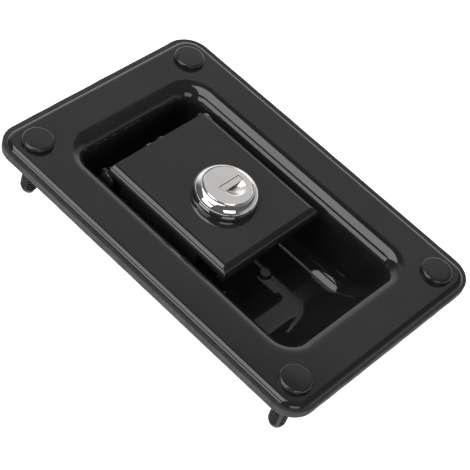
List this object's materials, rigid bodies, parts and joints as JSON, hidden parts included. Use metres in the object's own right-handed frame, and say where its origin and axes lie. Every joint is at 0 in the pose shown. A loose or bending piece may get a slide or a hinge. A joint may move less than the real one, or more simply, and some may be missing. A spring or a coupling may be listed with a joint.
{
  "type": "paddle latch",
  "caption": "Flush panel latch: pressed pan with gasket and four studs, a lifting paddle with key lock, and a spring bolt that the paddle draws back.",
  "frame": {"origin": "centre of the stud pattern on the mounting plane, which is the gasket's back face and the outside of the panel", "axes": "+Z out of the panel, towards the hand; +X along the flange's long side towards the finger recess, so that the bolt leaves towards -X; +Y across the flange"},
  "size_m": [0.1436, 0.0966, 0.0482],
  "materials": {
    "black_coated_steel": "gloss black powder coat",
    "foam_rubber": "closed-cell foam rubber, matt, cut edges slightly rough",
    "black_stud_steel": "gloss black coat",
    "zinc_steel": "bright zinc plate",
    "spring_steel": "drawn spring wire",
    "rivet_steel": "zinc plate",
    "bolt_steel": "zinc-plated, machined",
    "lock_zinc": "nickel-plated die casting",
    "bezel_chrome": "polished chrome plate",
    "plug_face_metal": "satin nickel plate",
    "wafer_brass": "stamped brass"
  },
  "bodies": {
    "root": {"pan": "black_coated_steel", "gasket": "foam_rubber", "corner_studs": "black_stud_steel", "hinge_bracket": "black_coated_steel", "pivot_pin": "black_stud_steel", "pin_clip": "spring_steel", "bolt_housing": "zinc_steel", "housing_rivets": "black_stud_steel", "spring_rod": "rivet_steel", "bolt_spring": "spring_steel", "keeper": "zinc_steel"},
    "bolt": {"slam_bolt": "bolt_steel"},
    "paddle": {"paddle_cover": "black_coated_steel", "lift_lever": "zinc_steel", "paddle_springs": "spring_steel", "lock_body": "lock_zinc", "lock_bezel": "bezel_chrome", "lock_washer": "zinc_steel", "lock_nut": "zinc_steel"},
    "plug": {"lock_plug": "plug_face_metal", "lock_wafers": "wafer_brass", "lock_cam": "zinc_steel", "cam_screw": "rivet_steel"},
    "shutter": {"key_shutter": "plug_face_metal"}
  },
  "joints": [
    {"name": "paddle_lift", "type": "hinge", "parent": "root", "child": "paddle", "pos_m": [-0.0383, 0, -0.0013], "axis": [0, -1, 0], "range_deg": [0, 30], "stiffness_Nm_per_rad": 0.25, "springref_deg": -25.78, "deforming": ["paddle_springs"]},
    {"name": "bolt_slide", "type": "slide", "parent": "root", "child": "bolt", "axis": [1, 0, 0], "range_m": [0, 0.01467], "stiffness_N_per_m": 250, "springref_m": -0.008, "deforming": ["bolt_spring"]},
    {"name": "key_turn", "type": "hinge", "parent": "paddle", "child": "plug", "pos_m": [-0.0064, 0, 0.0102], "axis": [0, 0, 1], "range_deg": [0, 90]},
    {"name": "shutter_tip", "type": "hinge", "parent": "plug", "child": "shutter", "pos_m": [-0.0064, -0.0034, 0.00945], "axis": [-1, 0, 0], "range_deg": [0, 75], "stiffness_Nm_per_rad": 0.0005, "springref_deg": -28.65}
  ],
  "couplings": [
    {"joint": "bolt_slide", "follows": "paddle_lift", "m_per_rad": 0.028}
  ]
}
